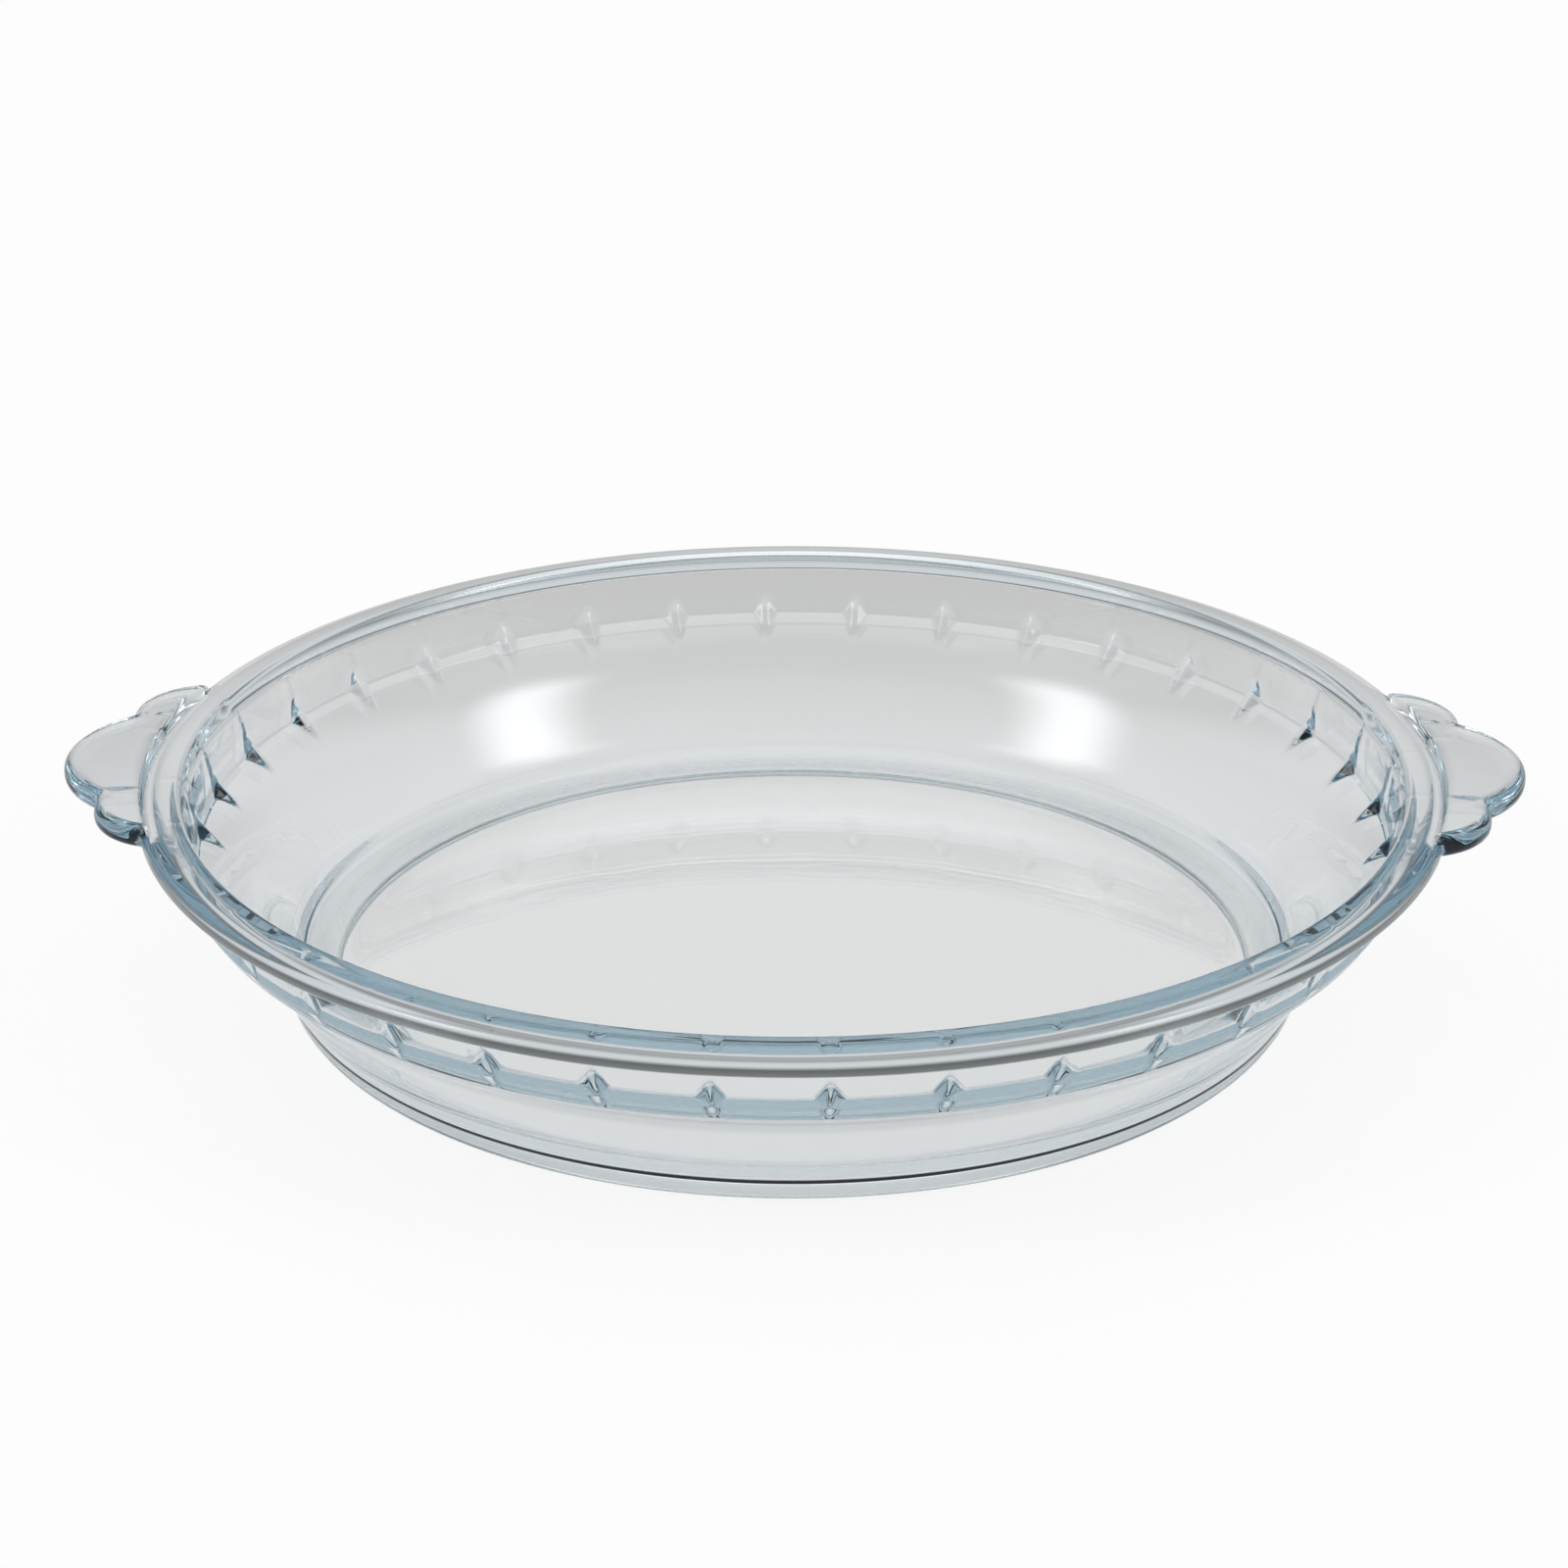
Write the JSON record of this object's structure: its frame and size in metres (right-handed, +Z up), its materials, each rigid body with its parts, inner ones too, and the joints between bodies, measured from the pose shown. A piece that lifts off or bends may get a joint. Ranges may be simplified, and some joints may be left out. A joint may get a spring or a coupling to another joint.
{
  "type": "pie dish",
  "caption": "Round clear glass pie dish with sloping wall, pinched flutes under a thick rim and two scalloped tab handles.",
  "frame": {"origin": "centre of the base, on the surface that the dish stands on", "axes": "+Z up out of the open top, +X through the middle of one handle, -X through the other"},
  "size_m": [0.2582, 0.23, 0.0401],
  "materials": {
    "clear_glass": "clear polished"
  },
  "bodies": {
    "root": {"pie_dish": "clear_glass"}
  },
  "joints": []
}
